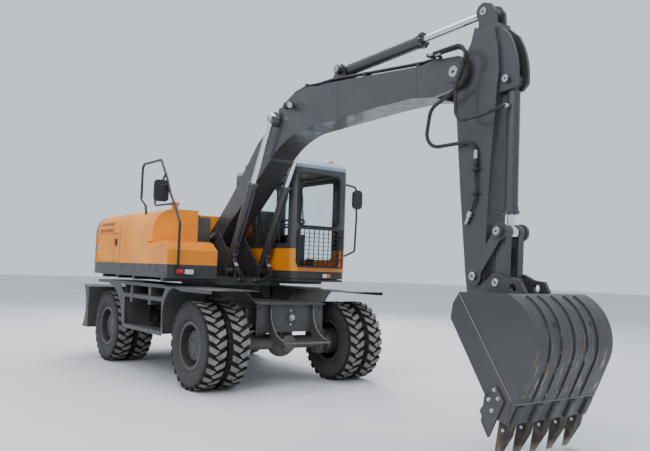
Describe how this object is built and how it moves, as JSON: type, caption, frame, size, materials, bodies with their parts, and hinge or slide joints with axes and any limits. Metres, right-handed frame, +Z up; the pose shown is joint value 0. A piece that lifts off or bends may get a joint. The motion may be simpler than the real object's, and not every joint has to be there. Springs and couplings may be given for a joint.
{
  "type": "wheeled excavator",
  "caption": "Wheeled excavator with twin wheels, a raised dozer blade at the back, a cab beside a cranked boom, and an arm with a toothed digging bucket.",
  "frame": {"origin": "on the ground under the slewing axis", "axes": "+X forward, from the slewing axis to the steered axle and the bucket; +Y to the machine's left, the cab's side; +Z up"},
  "size_m": [8.1165, 2.73, 3.871],
  "materials": {
    "undercarriage_grey": "satin",
    "undercarriage_dark": "satin",
    "cowling_orange": "semi-gloss",
    "dark_paint": "semi-gloss",
    "counterweight_grey": "satin",
    "roof_paint": "satin",
    "tyre_rubber": "matt",
    "rim_paint": "satin",
    "rod_steel": "polished",
    "cast_parts": "rough",
    "digging_steel": "worn",
    "window_glass": "clear",
    "seat_fabric": "woven",
    "cab_plastic": "textured",
    "black_bars": "satin",
    "hose_rubber": "matt",
    "lamp_parts": "clear over white"
  },
  "bodies": {
    "chassis": {"chassis_frame": "undercarriage_dark", "fenders": "undercarriage_grey", "slew_ring": "cast_parts", "front_axle": "cast_parts", "rear_axle": "cast_parts", "driveline": "cast_parts", "axle_locks": "undercarriage_dark"},
    "knuckle_left": {"knuckle_left": "cast_parts"},
    "knuckle_right": {"knuckle_right": "cast_parts"},
    "steering_rod": {"steering_rod": "rod_steel"},
    "blade": {"blade": "undercarriage_grey"},
    "blade_barrels": {"blade_barrels": "undercarriage_dark"},
    "blade_rods": {"blade_rods": "rod_steel"},
    "upper": {"upper_frame": "dark_paint", "counterweight": "counterweight_grey", "engine_block": "cast_parts", "hydraulic_gear": "cast_parts", "cowling": "cowling_orange", "fuel_tank": "cowling_orange", "tool_box": "cowling_orange", "skirts": "dark_paint", "cab_shell": "dark_paint", "cab_roof": "roof_paint", "cab_glass": "window_glass", "cab_seat": "seat_fabric", "cab_controls": "cab_plastic", "window_guard": "black_bars", "handrails": "black_bars", "lamps": "lamp_parts"},
    "cab_door": {"cab_door": "dark_paint", "door_glass": "window_glass"},
    "hood_lid": {"hood_lid": "cowling_orange"},
    "service_door_right": {"service_door_right": "cowling_orange"},
    "service_door_left": {"service_door_left": "cowling_orange"},
    "tool_box_lid": {"tool_box_lid": "cowling_orange"},
    "boom": {"boom": "dark_paint", "boom_pipes": "black_bars"},
    "boom_barrel_left": {"boom_barrel_left": "dark_paint"},
    "boom_barrel_right": {"boom_barrel_right": "dark_paint"},
    "boom_rod_left": {"boom_rod_left": "rod_steel"},
    "boom_rod_right": {"boom_rod_right": "rod_steel"},
    "arm": {"arm": "dark_paint", "arm_hoses": "hose_rubber"},
    "arm_barrel": {"arm_barrel": "dark_paint"},
    "arm_rod": {"arm_rod": "rod_steel"},
    "bucket_barrel": {"bucket_barrel": "dark_paint"},
    "bucket_rod": {"bucket_rod": "rod_steel"},
    "rocker": {"rocker": "dark_paint"},
    "bucket_link": {"bucket_link": "dark_paint"},
    "bucket": {"bucket": "digging_steel", "bucket_teeth": "digging_steel"},
    "wheel_front_left": {"tyres_front_left": "tyre_rubber", "wheels_front_left": "rim_paint"},
    "wheel_front_right": {"tyres_front_right": "tyre_rubber", "wheels_front_right": "rim_paint"},
    "wheel_rear_left": {"tyres_rear_left": "tyre_rubber", "wheels_rear_left": "rim_paint"},
    "wheel_rear_right": {"tyres_rear_right": "tyre_rubber", "wheels_rear_right": "rim_paint"}
  },
  "joints": [
    {"name": "slew", "type": "hinge", "parent": "chassis", "child": "upper", "pos_m": [0, 0, 1.185], "axis": [0, 0, 1], "continuous": true},
    {"name": "steer_left", "type": "hinge", "parent": "chassis", "child": "knuckle_left", "pos_m": [1.637, 0.62, 0.508], "axis": [0, 0, 1], "range_deg": [-28, 28]},
    {"name": "steer_right", "type": "hinge", "parent": "chassis", "child": "knuckle_right", "pos_m": [1.637, -0.62, 0.508], "axis": [0, 0, 1], "range_deg": [-28, 28]},
    {"name": "steering_slide", "type": "slide", "parent": "chassis", "child": "steering_rod", "axis": [0, 1, 0], "range_m": [-0.09, 0.09]},
    {"name": "spin_front_left", "type": "hinge", "parent": "knuckle_left", "child": "wheel_front_left", "pos_m": [1.637, 0.982, 0.508], "axis": [0, 1, 0], "continuous": true},
    {"name": "spin_front_right", "type": "hinge", "parent": "knuckle_right", "child": "wheel_front_right", "pos_m": [1.637, -0.982, 0.508], "axis": [0, 1, 0], "continuous": true},
    {"name": "spin_rear_left", "type": "hinge", "parent": "chassis", "child": "wheel_rear_left", "pos_m": [-1.16, 0.982, 0.508], "axis": [0, 1, 0], "continuous": true},
    {"name": "spin_rear_right", "type": "hinge", "parent": "chassis", "child": "wheel_rear_right", "pos_m": [-1.16, -0.982, 0.508], "axis": [0, 1, 0], "continuous": true},
    {"name": "blade_lift", "type": "hinge", "parent": "chassis", "child": "blade", "pos_m": [-0.72, 0, 0.66], "axis": [0, 1, 0], "range_deg": [-20, 0]},
    {"name": "blade_barrel_swing", "type": "hinge", "parent": "chassis", "child": "blade_barrels", "pos_m": [-1.5, 0, 0.93], "axis": [0, 1, 0], "range_deg": [-29, 0]},
    {"name": "blade_rod_slide", "type": "slide", "parent": "blade_barrels", "child": "blade_rods", "axis": [-0.7572, 0, -0.6531], "range_m": [0, 0.28]},
    {"name": "boom_lift", "type": "hinge", "parent": "upper", "child": "boom", "pos_m": [0.1, 0, 1.861], "axis": [0, -1, 0], "range_deg": [-50, 30]},
    {"name": "boom_barrel_swing_left", "type": "hinge", "parent": "upper", "child": "boom_barrel_left", "pos_m": [0.66, 0.256, 1.385], "axis": [0, -1, 0], "range_deg": [-50, 30]},
    {"name": "boom_rod_slide_left", "type": "slide", "parent": "boom_barrel_left", "child": "boom_rod_left", "axis": [0.4602, 0, 0.8878], "range_m": [-0.63, 0.38]},
    {"name": "boom_barrel_swing_right", "type": "hinge", "parent": "upper", "child": "boom_barrel_right", "pos_m": [0.66, -0.256, 1.385], "axis": [0, -1, 0], "range_deg": [-50, 30]},
    {"name": "boom_rod_slide_right", "type": "slide", "parent": "boom_barrel_right", "child": "boom_rod_right", "axis": [0.4602, 0, 0.8878], "range_m": [-0.63, 0.38]},
    {"name": "arm_swing", "type": "hinge", "parent": "boom", "child": "arm", "pos_m": [4.666, 0, 3.267], "axis": [0, 1, 0], "range_deg": [-65, 45]},
    {"name": "arm_barrel_swing", "type": "hinge", "parent": "boom", "child": "arm_barrel", "pos_m": [2.812, 0, 3.702], "axis": [0, 1, 0], "range_deg": [-6, 5]},
    {"name": "arm_rod_slide", "type": "slide", "parent": "arm_barrel", "child": "arm_rod", "axis": [0.9992, 0, 0.0411], "range_m": [-0.58, 0.4]},
    {"name": "bucket_curl", "type": "hinge", "parent": "arm", "child": "bucket", "pos_m": [4.93, 0, 1.15], "axis": [0, -1, 0], "range_deg": [-155, 0]},
    {"name": "bucket_barrel_swing", "type": "hinge", "parent": "arm", "child": "bucket_barrel", "pos_m": [5.2, 0, 3.11], "axis": [0, -1, 0], "range_deg": [0, 2]},
    {"name": "bucket_rod_slide", "type": "slide", "parent": "bucket_barrel", "child": "bucket_rod", "axis": [-0.0084, 0, -1], "range_m": [0, 0.78]},
    {"name": "rocker_swing", "type": "hinge", "parent": "arm", "child": "rocker", "pos_m": [4.92, 0, 1.418], "axis": [0, -1, 0], "range_deg": [-111, 0]},
    {"name": "link_swing", "type": "hinge", "parent": "bucket", "child": "bucket_link", "pos_m": [5.178, 0, 1.371], "axis": [0, -1, 0], "range_deg": [0, 93]},
    {"name": "cab_door_hinge", "type": "hinge", "parent": "upper", "child": "cab_door", "pos_m": [0.103, 1.2525, 2], "axis": [0, 0, 1], "range_deg": [0, 100]},
    {"name": "hood_lid_hinge", "type": "hinge", "parent": "upper", "child": "hood_lid", "pos_m": [-0.423, 0, 2.1825], "axis": [0, 1, 0], "range_deg": [0, 65]},
    {"name": "service_door_right_hinge", "type": "hinge", "parent": "upper", "child": "service_door_right", "pos_m": [-1.768, -1.2505, 1.6], "axis": [0, 0, -1], "range_deg": [0, 100]},
    {"name": "service_door_left_hinge", "type": "hinge", "parent": "upper", "child": "service_door_left", "pos_m": [-1.557, 1.2505, 1.6], "axis": [0, 0, 1], "range_deg": [0, 100]},
    {"name": "tool_box_lid_hinge", "type": "hinge", "parent": "upper", "child": "tool_box_lid", "pos_m": [0.462, 0, 1.7325], "axis": [0, -1, 0], "range_deg": [0, 80]}
  ],
  "couplings": [
    {"joint": "steer_right", "follows": "steer_left", "ratio": 1},
    {"joint": "steering_slide", "follows": "steer_left", "m_per_rad": -0.173},
    {"joint": "blade_barrel_swing", "follows": "blade_lift", "ratio": 1.42},
    {"joint": "blade_rod_slide", "follows": "blade_lift", "m_per_rad": -0.7765},
    {"joint": "boom_barrel_swing_left", "follows": "boom_lift", "ratio": 0.982},
    {"joint": "boom_rod_slide_left", "follows": "boom_lift", "m_per_rad": 0.695},
    {"joint": "boom_barrel_swing_right", "follows": "boom_lift", "ratio": 0.982},
    {"joint": "boom_rod_slide_right", "follows": "boom_lift", "m_per_rad": 0.695},
    {"joint": "arm_barrel_swing", "follows": "arm_swing", "ratio": 0.077},
    {"joint": "arm_rod_slide", "follows": "arm_swing", "m_per_rad": 0.49},
    {"joint": "bucket_barrel_swing", "follows": "bucket_curl", "ratio": -0.006},
    {"joint": "bucket_rod_slide", "follows": "bucket_curl", "m_per_rad": -0.2845},
    {"joint": "rocker_swing", "follows": "bucket_curl", "ratio": 0.7116},
    {"joint": "link_swing", "follows": "bucket_curl", "ratio": -0.5952}
  ]
}
